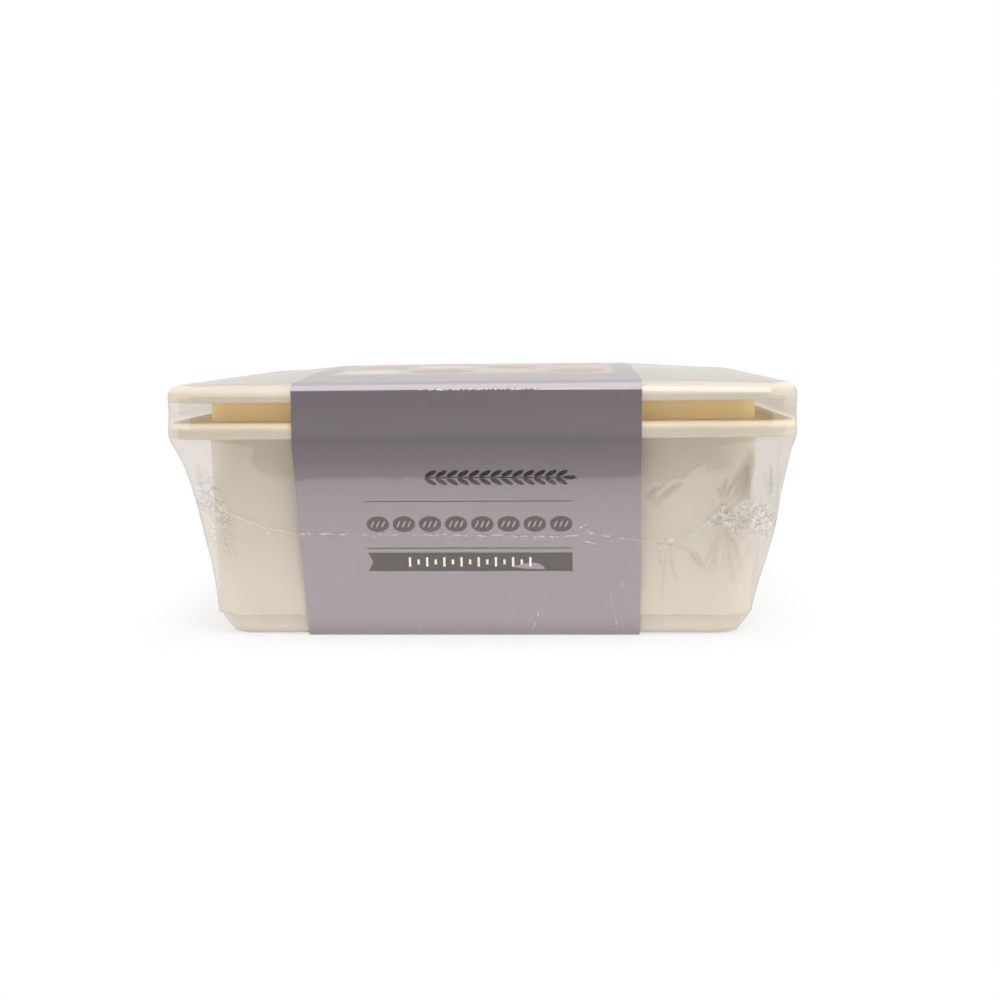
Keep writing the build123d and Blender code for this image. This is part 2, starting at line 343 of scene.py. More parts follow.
def printed_card(name):
    """Card printed all over in a mauve-grey ink with silver in it: partly metallic
    and rough, so that it darkens or brightens with what it faces. Its fibres are
    drawn coarser than real ones so that they show. The ink is worn to the white
    core along the folds in short nicks. At the right they are joined to a line,
    worn ink with a painted highlight along the fold. It is painted darker along
    the foot, a painted contact shade."""
    material, add, place = new_material(name)
    fibre = add("TexNoise", {"Vector": place, "Scale": 1 / FIBRE_SIZE, "Detail": 3.0})
    blotch = add("TexNoise", {"Vector": place, "Scale": 1 / BLOTCH_SIZE, "Detail": 4.0})
    ink = add("Mix", {"Factor": blotch, 6: CARD_MAUVE, 7: CARD_MAUVE_DEEP}, data_type="RGBA")
    axes = add("SeparateXYZ", {"Vector": place}).outputs
    # Painted shade: darker towards the foot, where the card stands in its contact shade.
    painted_foot_shade = add("MapRange", {"Value": axes["Z"], "From Max": FOOT_SHADE_HEIGHT, "To Min": 1.0,
        "To Max": 0.0}, interpolation_type="SMOOTHSTEP")
    ink = add("Mix", {"Factor": painted_foot_shade, 6: ink, 7: CARD_FOOT_SHADE}, data_type="RGBA")
    over_fold = add("MapRange", {"Value": axes["Z"], "From Min": fold_height + PALE_START[0],
        "From Max": fold_height + PALE_START[1]})
    under_panel = add("MapRange", {"Value": axes["Z"], "From Min": fold_height + PALE_END[1],
        "From Max": fold_height + PALE_END[0], "To Max": PALE_SHARE})
    pale = add("Math", {0: over_fold, 1: under_panel}, operation="MULTIPLY")
    ink = add("Mix", {"Factor": pale, 6: ink, 7: CARD_CORE}, data_type="RGBA")
    above_fold = add("Math", {0: axes["Z"], 1: fold_height + NICK_LINE}, operation="SUBTRACT")
    off_fold = add("Math", {0: above_fold}, operation="ABSOLUTE")
    near_fold = add("MapRange", {"Value": off_fold, "From Min": NICK_REACH[1], "From Max": NICK_REACH[0]})
    nicks = add("TexNoise", {"Vector": place, "Scale": 1 / NICK_SIZE, "Detail": 3.0, "Roughness": 0.7})
    more_worn = add("MapRange", {"Value": axes["X"], "From Min": WEAR_FROM, "From Max": WEAR_TO,
        "To Min": -0.26, "To Max": 0.02})
    # Painted highlight: further right the nicks join into a continuous white line along the fold.
    painted_highlight_line = add("MapRange", {"Value": axes["X"], "From Min": HIGHLIGHT_LINE_START, "From Max": HIGHLIGHT_LINE_FULL,
        "To Max": 0.3})
    wear_level = add("Math", {0: nicks, 1: more_worn}, operation="ADD")
    wear_level = add("Math", {0: wear_level, 1: painted_highlight_line}, operation="ADD")
    worn = add("MapRange", {"Value": wear_level, "From Min": 0.52, "From Max": 0.6})
    wear_and_highlight = add("Math", {0: worn, 1: near_fold}, operation="MULTIPLY")
    colour = add("Mix", {"Factor": wear_and_highlight, 6: ink, 7: CARD_CORE}, data_type="RGBA")
    gloss = add("MapRange", {"Value": fibre, "To Min": 0.22, "To Max": 0.3})
    silver = add("MapRange", {"Value": wear_and_highlight, "To Min": CARD_SILVER, "To Max": 0.0})
    bump = add("Bump", {"Height": fibre, "Strength": 0.06, "Distance": 0.02 * MM})
    card = add("BsdfPrincipled", {"Base Color": colour, "Metallic": silver, "Roughness": gloss,
        "IOR": 1.5, "Normal": bump})
    add("OutputMaterial", {"Surface": card})
    return material


def card_wave(x, z):
    """How far the card's face waves in and out, in metres."""
    return WAVE_DEPTH * noise.noise(Vector((x / WAVE_WIDTH, z / WAVE_HEIGHT, 3.7)))


def above_rim(height):
    """Share of the way from the rim's underside up to the fold."""
    return (height - rim_bottom) / (fold_height - rim_bottom)


def hanging_sheet(name, side, line, step, stands_off, material):
    """A sheet that hangs down one flap: the card itself, or the film that lies on
    it. side is -1 at the front and 1 at the back, and stands_off says how far the
    sheet lies out from the flap's plain face at x and z. It stays behind the face
    of the film that hangs over the rim."""
    columns = round(2 * card_half / step) + 1
    vertices = []
    for point in line:
        z = point.y
        left = flap_left(z)
        for column in range(columns):
            x = left + (card_right - left) * column / (columns - 1)
            depth = min(-point.x + stands_off(x, z), OUTER_FACE)
            vertices.append((x, side * depth, z + fold_rise(x, above_rim(z))))
    return mesh_piece(name, vertices, grid_faces(len(line), columns, side > 0), material)


def card_top_height(x, y):
    """Height of the top panel's face. The bow is slacker towards the left edge."""
    across = (x - card_middle) / card_half
    slack = 1 - BOW_SLACK * max(0.0, -across) ** 2
    along = min(1.0, abs(y) / panel_edge)
    shoulder = SHOULDER_RISE * (1 - math.exp(-(panel_edge - abs(y)) / SHOULDER_REACH))
    bowed = fold_height + FOLD_RADIUS + shoulder + card_bow * slack * (1 - along ** 2)
    return bowed + fold_rise(x, along ** 2)


def build_top_panel(name):
    """The bowed top panel, with its bend down to the fold at front and back. Its
    rows stand closer towards the two folds, where it bends most."""
    bend = []
    for step in range(FOLD_STEPS):
        angle = math.radians(90) * step / FOLD_STEPS
        bend.append((panel_edge + FOLD_RADIUS * math.cos(angle), FOLD_RADIUS * math.sin(angle)))
    line = [(-y, rise) for y, rise in bend]
    for row in range(TOP_ROWS + 1):
        share = 2 * row / TOP_ROWS - 1
        line.append((panel_edge * share * (1 + ROWS_AT_EDGES * (1 - share ** 2)), None))
    line += reversed(bend)
    columns = round(2 * card_half / CARD_STEP) + 1
    vertices = []
    for y, rise in line:
        for column in range(columns):
            x = card_left + 2 * card_half * column / (columns - 1)
            z = card_top_height(x, y) if rise is None else fold_height + rise + fold_rise(x, 1.0)
            vertices.append((x, y, z))
    panel = mesh_piece(name, vertices, grid_faces(len(line), columns, True), card_print)
    return thicken(panel, CARD_THICKNESS)


def stand_for(piece, node, body):
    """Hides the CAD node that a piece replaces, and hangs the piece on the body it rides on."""
    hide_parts(node)
    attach(piece, body)


OUTER_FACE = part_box("film_cap")[1].x
card_bow = fold_high.z - fold_height - FOLD_RADIUS - SHOULDER_RISE - FILM_ROOM
panel_edge = card_face - FOLD_RADIUS
FLAP_FACE = flap_line()
card_print = printed_card("coated card, printed mauve-grey")
front_panel = hanging_sheet("sleeve_front_panel", -1, FLAP_FACE, CARD_STEP, card_wave, card_print)
stand_for(thicken(front_panel, CARD_THICKNESS), "sleeve_front", "front_flap")
back_panel = hanging_sheet("sleeve_back_panel", 1, FLAP_FACE, CARD_STEP, card_wave, card_print)
stand_for(thicken(back_panel, CARD_THICKNESS), "sleeve_back", "back_flap")
stand_for(build_top_panel("sleeve_top_panel"), "sleeve_top", "lid")


# The print on the sleeve. Flat dark-grey ink on the front panel's leaning
# part: an ear of grain, two thin rules, a row of slashed loaves between them,
# and a swallow-tailed band with a row of plain ticks.
INK_RISE = 0.03 * MM
INK_GREY = "4A4441"
INK_DARK = "241D19"
INK_PALE = "F2EFEC"
PRINT_LEFT = -48.5 * MM
PRINT_RIGHT = 39.4 * MM


def printing_ink(name, hex_colour):
    """Offset ink over the card's own: thin, flat and nearly matt, broken up very
    slightly where it sits on the fibres."""
    material, add, place = new_material(name)
    fibre = add("TexNoise", {"Vector": place, "Scale": 1 / FIBRE_SIZE, "Detail": 3.0})
    tone = add("MapRange", {"Value": fibre, "To Min": 0.92, "To Max": 1.06})
    colour = add("Mix", {"Factor": 1.0, 6: hex_colour, 7: tone}, data_type="RGBA", blend_type="MULTIPLY")
    gloss = add("MapRange", {"Value": fibre, "To Min": 0.45, "To Max": 0.55})
    ink = add("BsdfPrincipled", {"Base Color": colour, "Roughness": gloss, "IOR": 1.4})
    add("OutputMaterial", {"Surface": ink})
    return material


def on_flap(x, z, rise):
    """A point of the front panel's face, raised off it."""
    return Vector((x, -flap_depth(z) - rise - card_wave(x, z), z))


def on_top(x, y, rise):
    """A point of the top panel's face, raised off it."""
    return Vector((x, y, card_top_height(x, y) + rise))


def lay_ink(name, outlines, material, rise, place, body):
    """Lays flat outlines on one panel of the sleeve, as one piece of ink. Each is
    a fan of short slices round its middle, so that it follows a bowed panel."""
    vertices = []
    faces = []
    for outline in outlines:
        start = len(vertices)
        middle_u = sum(u for u, v in outline) / len(outline)
        middle_v = sum(v for u, v in outline) / len(outline)
        vertices.append(place(middle_u, middle_v, rise))
        vertices += [place(u, v, rise) for u, v in outline]
        count = len(outline)
        for index in range(count):
            faces.append((start, start + 1 + index, start + 1 + (index + 1) % count))
    piece = mesh_piece(name, vertices, faces, material)
    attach(piece, body)
    return piece


def bar(left, right, bottom, top):
    """Outline of an upright rectangle."""
    return [(left, bottom), (right, bottom), (right, top), (left, top)]


def leaf(u, v, length, width, angle, sides=20):
    """Outline of a pointed oval, turned by an angle. A round has equal sizes."""
    points = []
    for side in range(sides):
        turn = 2 * math.pi * side / sides
        along = math.cos(turn) * length / 2
        across = math.sin(turn) * width / 2
        points.append((u + along * math.cos(angle) - across * math.sin(angle),
                       v + along * math.sin(angle) + across * math.cos(angle)))
    return points


grey_ink = printing_ink("offset ink, dark grey", INK_GREY)
dark_ink = printing_ink("offset ink, near black", INK_DARK)
pale_ink = printing_ink("offset ink, off-white", INK_PALE)

RULE_HEIGHTS = (60.3 * MM, 39.6 * MM)
RULE_WIDTH = 0.45 * MM
rules = [bar(PRINT_LEFT, PRINT_RIGHT, z - RULE_WIDTH / 2, z + RULE_WIDTH / 2) for z in RULE_HEIGHTS]
lay_ink("print_rules", rules, grey_ink, INK_RISE, on_flap, "front_flap")

EAR_HEIGHT = 70.6 * MM
GRAIN_LENGTH = 5.4 * MM
GRAIN_WIDTH = 1.9 * MM
GRAIN_PAIRS = 13
GRAIN_LEAN = math.radians(28)
GRAIN_FIRST = -20.5 * MM
GRAIN_LAST = 35.0 * MM
GRAIN_TIP = 38.4 * MM
GRAIN_RISE = 1.75 * MM
STALK_LEFT = -23.0 * MM
STALK_RIGHT = 37.0 * MM
STALK_HALF = 0.2 * MM
ear = [bar(STALK_LEFT, STALK_RIGHT, EAR_HEIGHT - STALK_HALF, EAR_HEIGHT + STALK_HALF)]
for pair in range(GRAIN_PAIRS):
    grain_x = GRAIN_FIRST + (GRAIN_LAST - GRAIN_FIRST) * pair / (GRAIN_PAIRS - 1)
    for up in (-1, 1):
        grain_height = EAR_HEIGHT + up * GRAIN_RISE
        ear.append(leaf(grain_x, grain_height, GRAIN_LENGTH, GRAIN_WIDTH, up * GRAIN_LEAN))
ear.append(leaf(GRAIN_TIP, EAR_HEIGHT, GRAIN_LENGTH, GRAIN_WIDTH, 0.0))
lay_ink("print_grain_ear", ear, dark_ink, INK_RISE, on_flap, "front_flap")

LOAF_COUNT = 8
LOAF_HEIGHT = 50.3 * MM
LOAF_LENGTH = 9.6 * MM
LOAF_WIDTH = 7.0 * MM
SLASH_PITCH = 2.3 * MM
SLASH_LENGTH = 3.4 * MM
SLASH_WIDTH = 0.75 * MM
SLASH_LEAN = math.radians(65)
loaf_pitch = (PRINT_RIGHT - PRINT_LEFT - LOAF_LENGTH) / (LOAF_COUNT - 1)
front_loaves = []
slashes = []
for index in range(LOAF_COUNT):
    loaf_x = PRINT_LEFT + LOAF_LENGTH / 2 + loaf_pitch * index
    front_loaves.append(leaf(loaf_x, LOAF_HEIGHT, LOAF_LENGTH, LOAF_WIDTH, 0.0, sides=32))
    for cut in (-1, 0, 1):
        slash_x = loaf_x + cut * SLASH_PITCH
        slashes.append(leaf(slash_x, LOAF_HEIGHT, SLASH_LENGTH, SLASH_WIDTH, SLASH_LEAN, sides=12))
lay_ink("print_loaf_row", front_loaves, grey_ink, INK_RISE, on_flap, "front_flap")
bare_ink = printing_ink("offset ink, mauve-grey like the card", CARD_MAUVE)
lay_ink("print_loaf_slashes", slashes, bare_ink, 2 * INK_RISE, on_flap, "front_flap")

BAND_TOP = 37.6 * MM
BAND_BOTTOM = 29.3 * MM
BAND_NOTCH = 2.2 * MM
band_middle = (BAND_TOP + BAND_BOTTOM) / 2
band = [
    (PRINT_LEFT, BAND_BOTTOM), (PRINT_RIGHT, BAND_BOTTOM), (PRINT_RIGHT, BAND_TOP),
    (PRINT_LEFT, BAND_TOP), (PRINT_LEFT + BAND_NOTCH, band_middle),
]
lay_ink("print_band", [band], grey_ink, INK_RISE, on_flap, "front_flap")

TICK_COUNT = 15
TICK_WIDTH = 1.0 * MM
TICK_HEIGHTS = (4.2 * MM, 2.2 * MM)
TICK_PITCH = 3.7 * MM
ticks = []
for index in range(TICK_COUNT):
    tick_x = (PRINT_LEFT + PRINT_RIGHT) / 2 + TICK_PITCH * (index - (TICK_COUNT - 1) / 2)
    tick_half = TICK_HEIGHTS[index % 2] / 2
    ticks.append(bar(tick_x - TICK_WIDTH / 2, tick_x + TICK_WIDTH / 2,
                     band_middle - tick_half, band_middle + tick_half))
lay_ink("print_ticks", ticks, pale_ink, 2 * INK_RISE, on_flap, "front_flap")

# The top panel carries a plain picture field: pale ground, with rows of round
# loaves in cream, crust brown and rose, set in from the panel's edges.
FIELD_GROUND = "C9C0BC"
LOAF_COLOURS = ("E8D9BE", "B98F6E", "D8C3A4", "C49A8C")
FIELD_LEFT, FIELD_RIGHT = -68 * MM, 58 * MM
FIELD_FRONT, FIELD_BACK = -92 * MM, 104 * MM
LOAF_SIZE = 27 * MM
LOAF_ROWS, LOAF_COLUMNS = 5, 4
FIELD_CELLS = 14
cell_width = (FIELD_RIGHT - FIELD_LEFT) / FIELD_CELLS
cell_depth = (FIELD_BACK - FIELD_FRONT) / FIELD_CELLS
field = [bar(FIELD_LEFT + cell_width * i, FIELD_LEFT + cell_width * (i + 1),
             FIELD_FRONT + cell_depth * j, FIELD_FRONT + cell_depth * (j + 1))
         for i in range(FIELD_CELLS) for j in range(FIELD_CELLS)]
ground_ink = printing_ink("offset ink, pale warm grey", FIELD_GROUND)
lay_ink("print_field", field, ground_ink, INK_RISE, on_top, "lid")
for kind, loaf_colour in enumerate(LOAF_COLOURS):
    loaves = []
    for row in range(LOAF_ROWS):
        for column in range(LOAF_COLUMNS):
            if (row * 3 + column) % len(LOAF_COLOURS) == kind:
                loaf_x = FIELD_LEFT + (column + 0.5) * (FIELD_RIGHT - FIELD_LEFT) / LOAF_COLUMNS
                loaf_y = FIELD_FRONT + (row + 0.5) * (FIELD_BACK - FIELD_FRONT) / LOAF_ROWS
                loaves.append(leaf(loaf_x, loaf_y, LOAF_SIZE, LOAF_SIZE, 0.0, sides=40))
    loaf_ink = printing_ink(f"offset ink, loaf tone {kind + 1}", loaf_colour)
    lay_ink(f"print_loaves_{kind + 1}", loaves, loaf_ink, 2 * INK_RISE, on_top, "lid")


# The shrink film. One bag of thin clear polyolefin, shrunk tight with hot air.
# It is drawn in pieces where it has to part for the lid to lift: below the rim
# left and right of the sleeve, over the lid, and on the sleeve's two flaps.
FILM_THICKNESS = 0.1 * MM
BLISTER_SIZE = 3.4 * MM
SPECKLE_SIZE = 2.2 * MM
RIPPLE_SIZE = 9 * MM
FILM_CLEAR = "FEFDFC"
FILM_CLEAR_STEEP = "F1EFED"
# Tint of film lying double, deeper than doubled film: partly painted shade.
FILM_DOUBLED_SHADE = "CFC9BF"
FILM_CREASED = "F3EEE7"
FILM_MILK = "F4F2EF"
FILM_MIRROR = "E6E2DE"
FOOT_STEP = 9.3 * MM
FILM_FOOT = 0.3 * MM
SLIT = 0.3 * MM
# Half width of the hanging film, as pairs of height and half width in mm. It
# clings closer on the left, and it is pulled straight to the foot on the right.
LEFT_FALL = [(0.3, 111.2), (1.5, 112.9), (3, 114.1), (5, 114.9), (8.0, 115.5), (9.3, 117.9), (20, 118.6),
             (34, 120.3), (47, 122.6), (60, 125.6), (73, 129.0), (79, 131.2), (84, 133.8), (87.1, 135.6)]
RIGHT_FALL = [(0.3, 111.2), (1.5, 112.9), (3, 114.1), (6, 115.9), (9.3, 117.9), (20, 120.2), (34, 124.0),
              (47, 127.2), (60, 128.6), (73, 131.2), (79, 132.6), (84, 134.0), (87.1, 135.6)]
FRONT_FALL = [(0.3, 111.2), (1.5, 112.9), (3, 114.1), (5, 115.2), (9.3, 117.9), (20, 119.2), (34, 121.6),
              (47, 124.0), (60, 126.6), (73, 129.8), (79, 131.6), (84, 133.8), (87.1, 135.7)]
RIM_CORNER = 18.5 * MM
FOOT_CORNER = 13.0 * MM
OVER_CARD = 0.15 * MM
# How much of the card's lean the film still has where it turns each corner.
CLING = {-1: 0.25, 1: 0.55}
FRONT_STEPS = 60
CORNER_STEPS = 26
SIDE_STEPS = 120
FALL_ROWS = 116
FLAP_FILM_STEPS = (1.2 * MM, 1.0 * MM)
# The puckers that run across the weld, the slow waves of slack film, and the
# ridges of a knot: their height, and their size along the film and up it, in mm.
PUCKER_HEIGHT, PUCKER_REACH, PUCKER_SIZE = 0.18, 2.5, (2.6, 9)
SLACK_HEIGHT, SLACK_SIZE = 0.22, (26, 34)
RIDGE_SIZE = (3.2, 3.6)
# The same on a flap, where the film lies close over the card.
FLAP_LIE = 0.16
FLAP_SLACK_HEIGHT, FLAP_SLACK_SIZE = 0.07, (30, 25)
FLAP_PUCKER_HEIGHT, FLAP_PUCKER_REACH, FLAP_PUCKER_SIZE = 0.06, 2.0, (1.8, 8)
# A side film's relief dies out towards its edges, and is never deeper than this.
FADE_TOP = 6 * MM
FADE_EDGE = 4 * MM
DEEPEST = -1.2 * MM
side_top = rim_bottom - 0.1 * MM
# The weld where the bag was sealed runs round the front and sides, as pairs of
# distance along the front and height in mm.
WELD_POINTS = [
    (-260, 47), (-200, 50), (-150, 54), (-128, 59), (-120, 62), (-115, 60), (-111, 56.5),
    (-107.4, 54.4), (-101.8, 52.7), (-98.8, 51.4), (-92.4, 48.7), (-83.4, 47), (-77.4, 46.1),
    (-18.9, 45.5), (36.3, 44.5), (46.9, 46.3), (60, 43.8), (68.5, 43.1), (73.7, 41.3),
    (77.9, 40.8), (80, 42.1), (86.3, 45.6), (92.2, 47.4), (95.5, 49.1), (98.4, 52.2),
    (100.5, 53.9), (104, 54.3), (112, 54), (118, 52), (124, 50), (150, 50), (200, 47), (260, 49),
]
# Knots of crinkles: place, reach, height and milkiness. The weld bunches up
# there as it turns each corner of the pack.
KNOTS = [
    (104.5, 54, 3.5, 0.6, 1.0), (109, 49, 4.5, 0.5, 0.7), (112, 58, 3, 0.5, 0.6), (117, 52, 4.5, 0.5, 0.7),
    (100, 52, 3, 0.3, 0.6), (122, 50, 6, 0.5, 0.6), (131, 53, 8, 0.6, 0.4), (79, 41, 3.5, 0.3, 0.5),
    (-118.5, 67.5, 4.5, 0.4, 0.45), (-115, 63, 5, 0.45, 0.5), (-111, 53, 4.5, 0.4, 0.5),
    (-113, 44, 6, 0.35, 0.4), (-122, 58, 6, 0.4, 0.4), (255, 50, 12, 0.6, 0.5), (-255, 50, 12, 0.6, 0.5),
]
# Long folds, from one end to the other, with their width and height in mm and
# how much of the film lies double in them, which darkens it, partly as painted
# shade. The four that run down from about 114 along and 81 high form a dark
# wedge whose darkness is only painted shade. A hollow has a height below zero.
FOLDS = [
    (70, 50, 86, 51, 13, 0.8, 0.0), (71, 62.5, 75.4, 66.7, 1.0, -0.45, 0.14),
    (75.1, 61, 84.2, 68.3, 1.0, -0.5, 0.16), (78, 60, 88, 69, 1.2, 0.45, 0.0),
    (84.2, 68.3, 92.8, 76, 1.7, 0.5, 0.05), (114.6, 81.4, 105.2, 64.7, 1.3, -0.5, 0.25),
    (114.4, 81.4, 108.6, 62.5, 2.0, -0.5, 0.36), (114.2, 81, 111.4, 61.5, 1.5, -0.4, 0.4),
    (113.6, 76, 113.4, 62, 0.9, -0.3, 0.4), (81.7, 41, 88.6, 38.8, 0.7, 0.35, 0.18),
    (88.6, 38.8, 94.2, 31, 0.8, 0.4, 0.25), (91.1, 38.5, 96.4, 29.6, 0.6, 0.3, 0.2),
    (75.8, 38.6, 77.6, 30.6, 0.5, 0.3, 0.15), (103.6, 47.3, 108.9, 40.2, 1.0, 0.5, 0.25),
    (97.8, 43, 100.7, 29.6, 0.6, 0.35, 0.15), (99.3, 49.1, 100.4, 42, 0.9, 0.5, 0.0),
    (101.6, 61.3, 104.7, 69.1, 0.55, 0.3, 0.3), (103.3, 60.4, 106.8, 67.3, 0.6, 0.3, 0.25),
    (123.2, 75.4, 124.2, 60.3, 0.7, 0.6, 0.35), (127, 84, 128, 34, 1.3, 0.5, 0.1),
    (132, 78, 131, 40, 1.3, -0.5, 0.1), (138, 80, 137, 36, 1.5, 0.5, 0.1),
    (112, 32, 110, 20, 4.0, -0.5, 0.0), (-114, 58, -110, 74, 1.2, 0.25, 0.08),
    (-115, 52, -112, 34, 1.0, 0.3, 0.1), (-122, 56, -120, 36, 1.2, -0.35, 0.08),
    (-126, 60, -126, 34, 1.3, 0.4, 0.08), (-121, 78, -117, 66, 1.0, 0.25, 0.1),
]
# Fans of fine pleats that run out from the knots and from the weld's low point:
# place, first and last direction in degrees, count, shortest and longest.
PLEAT_FANS = [
    (104, 51, -118, -62, 16, 7, 30), (80, 40.5, -105, -40, 8, 5, 22), (103, 57, 40, 115, 7, 3, 10),
    (119, 51, -112, -80, 7, 8, 26), (124, 56, 70, 105, 6, 6, 22), (-112, 52, -112, -66, 7, 5, 16),
    (-117, 62, 60, 112, 6, 4, 12), (-124, 58, -110, 110, 7, 5, 20),
]


def pleats():
    """The fans' pleats, as more long folds. Each starts a little way off its knot."""
    chance = random.Random(17)
    strokes = []
    for x, z, first, last, count, shortest, longest in PLEAT_FANS:
        for number in range(count):
            turn = math.radians(first + (last - first) * (number + chance.random()) / count)
            near = chance.uniform(1.0, 5.0)
            far = near + chance.uniform(shortest, longest)
            strokes.append((
                x + near * math.cos(turn), z + near * math.sin(turn),
                x + far * math.cos(turn), z + far * math.sin(turn),
                chance.uniform(0.4, 0.75), chance.choice((-1, 1)) * chance.uniform(0.15, 0.35),
                chance.choice((0.0, 0.05, 0.1, 0.15))))
    return strokes


def table_value(table, at):
    """Value of a table of pairs, joined by straight runs."""
    for (low, low_value), (high, high_value) in zip(table, table[1:]):
        if at <= high:
            share = max(0.0, (at - low) / (high - low))
            return low_value + (high_value - low_value) * share
    return table[-1][1]


def smooth_value(table, at):
    """Value of a table of pairs, averaged over a short stretch so that it bends
    softly. The stretch is shorter near the foot's step, which stays sharp."""
    reach = min(3.0, max(0.3, abs(at - FOOT_STEP / MM)))
    steps = (-reach, -reach / 2, 0.0, reach / 2, reach)
    return sum(table_value(table, at + step) for step in steps) / len(steps)


def weld_height(along):
    """Height of the weld at a distance along the front, with its small jogs."""
    jog = 0.6 * noise.noise(Vector((along / (5 * MM), 0.3, 9.0)))
    return (smooth_value(WELD_POINTS, along / MM) + jog) * MM


def hump(distance, width):
    """A smooth hump: 1 at no distance, and nothing beyond a few widths."""
    return math.exp(-(distance / width) ** 2)


ALL_FOLDS = FOLDS + pleats()


def folds_at(along, height):
    """Height of the long folds at a point of the unrolled film in mm, and how
    much it is darkened there, by film lying double and by painted shade."""
    total = 0.0
    doubled_and_shade = 0.0
    for x0, z0, x1, z1, width, rise, double_and_shade_share in ALL_FOLDS:
        if min(x0, x1) - 4 * width < along < max(x0, x1) + 4 * width:
            run_x, run_z = x1 - x0, z1 - z0
            share = ((along - x0) * run_x + (height - z0) * run_z) / (run_x ** 2 + run_z ** 2)
            share = max(0.0, min(1.0, share))
            gap = math.hypot(along - x0 - run_x * share, height - z0 - run_z * share)
            taper = math.sin(math.pi * (0.04 + 0.92 * share)) ** 0.6
            total += rise * hump(gap, width) * taper
            doubled_and_shade = max(doubled_and_shade, double_and_shade_share * hump(gap, width) * taper)
    return total, doubled_and_shade


def crumple_at(along, height):
    """How crumpled the film is at a point, from 0 to 1, and its crinkles' height in mm."""
    amount = 0.0
    push = 0.0
    for x0, z0, reach, rise, milk in KNOTS:
        gap = math.hypot(along - x0, (height - z0) * 0.8)
        near = hump(gap, reach)
        if near > 0.02:
            turn = math.atan2(height - z0, along - x0)
            rays = noise.noise(Vector((4 * math.cos(turn), 4 * math.sin(turn), x0 / 10)))
            ridge = abs(noise.noise(Vector((along / RIDGE_SIZE[0], height / RIDGE_SIZE[1], z0))))
            ridge = 1 - 2.4 * ridge
            push += rise * near * (0.6 * ridge + 0.8 * rays * min(1.0, gap / 4))
            amount += milk * near
    return min(1.0, amount), push


def film_relief(along, height, seed):
    """How far the film stands off its smooth form in metres, how crumpled it is,
    and how much it is darkened, by film lying double and by painted shade."""
    along_mm, height_mm = along / MM, height / MM
    off_weld = abs(height - weld_height(along)) / MM
    pucker = noise.noise(Vector((along_mm / PUCKER_SIZE[0], height_mm / PUCKER_SIZE[1], seed)))
    pucker *= PUCKER_HEIGHT * math.exp(-off_weld / PUCKER_REACH)
    slow = SLACK_HEIGHT * noise.noise(Vector((along_mm / SLACK_SIZE[0], height_mm / SLACK_SIZE[1], seed)))
    amount, crinkle = crumple_at(along_mm, height_mm)
    seam_milk = 0.35 * math.exp(-off_weld / 1.2)
    folds, doubled_and_shade = folds_at(along_mm, height_mm)
    return (pucker + slow + crinkle + folds) * MM, max(amount, seam_milk), doubled_and_shade


def clear_film(name):
    """Clear polyolefin shrink film: seen by what it mirrors, more so the steeper
    it is seen. It is a little grey edge on, and brownish where it is folded
    double. That brown is deeper than doubled film gives, so it is partly painted
    shade, and in a wedge of folds on the right it is only painted shade. Where it
    is crumpled it is milky in soft flecks, with a net of faint blister lines,
    drawn coarser than the real wrinkles so that they show."""
    material, add, place = new_material(name)
    facing = add("LayerWeight", {"Blend": 0.5}).outputs["Facing"]
    edge_on = add("MapRange", {"Value": facing, "From Min": 0.6, "From Max": 1.0},
        interpolation_type="SMOOTHSTEP")
    tint = add("Mix", {"Factor": edge_on, 6: FILM_CLEAR, 7: FILM_CLEAR_STEEP}, data_type="RGBA")
    doubled_and_shade = add("Attribute", attribute_name="doubled_and_shade").outputs["Fac"]
    crumple = add("Attribute", attribute_name="crumple").outputs["Fac"]
    cells = add("TexVoronoi", {"Vector": place, "Scale": 1 / BLISTER_SIZE}, feature="DISTANCE_TO_EDGE")
    blister_rim = add("MapRange", {"Value": cells, "From Min": 0.16, "From Max": 0.02, "To Min": 0.0,
        "To Max": 0.5})
    blistered = add("Math", {0: blister_rim, 1: crumple}, operation="MULTIPLY")
    # Painted shade: the film darkens where it lies double and in the wedge of folds.
    doubled_and_painted_shade = add("Math", {0: doubled_and_shade, 1: blistered}, operation="MAXIMUM")
    folded_tint = add("Mix", {"Factor": doubled_and_painted_shade, 6: tint, 7: FILM_DOUBLED_SHADE}, data_type="RGBA")
    clear = add("BsdfTransparent", {"Color": folded_tint})
    speckle = add("TexNoise", {"Vector": place, "Scale": 1 / SPECKLE_SIZE, "Detail": 3.0,
        "Distortion": 1.0})
    fleck = add("MapRange", {"Value": speckle, "From Min": 0.42, "From Max": 0.68, "To Min": 0.12})
    milk = add("Math", {0: fleck, 1: crumple}, operation="MULTIPLY")
    ripple = add("TexNoise", {"Vector": place, "Scale": 1 / RIPPLE_SIZE, "Detail": 2.0})
    relief = add("MapRange", {"Value": crumple, "To Min": 0.0, "To Max": 0.6})
    soft_bump = add("Bump", {"Height": ripple, "Strength": 0.25, "Distance": 0.12 * MM})
    fine_bump = add("Bump", {"Height": speckle, "Strength": relief, "Distance": 0.25 * MM,
        "Normal": soft_bump})
    colour = add("Mix", {"Factor": milk, 6: FILM_MIRROR, 7: FILM_MILK}, data_type="RGBA")
    shine = add("MapRange", {"Value": milk, "To Min": 0.85, "To Max": 0.0})
    roughness = add("MapRange", {"Value": milk, "To Min": 0.06, "To Max": 0.5})
    gloss = add("BsdfPrincipled", {"Base Color": colour, "Metallic": shine, "Roughness": roughness,
        "Normal": fine_bump})
    steep = add("Math", {0: facing, 1: 5.0}, operation="POWER")
    mirror = add("MapRange", {"Value": steep, "To Min": 0.06, "To Max": 0.42})
    milky = add("Math", {0: milk, 1: 0.55}, operation="MULTIPLY")
    cover = add("Math", {0: mirror, 1: milky}, operation="ADD", use_clamp=True)
    surface = add("MixShader", {0: cover, 1: clear, 2: gloss})
    add("OutputMaterial", {"Surface": surface})
    return material


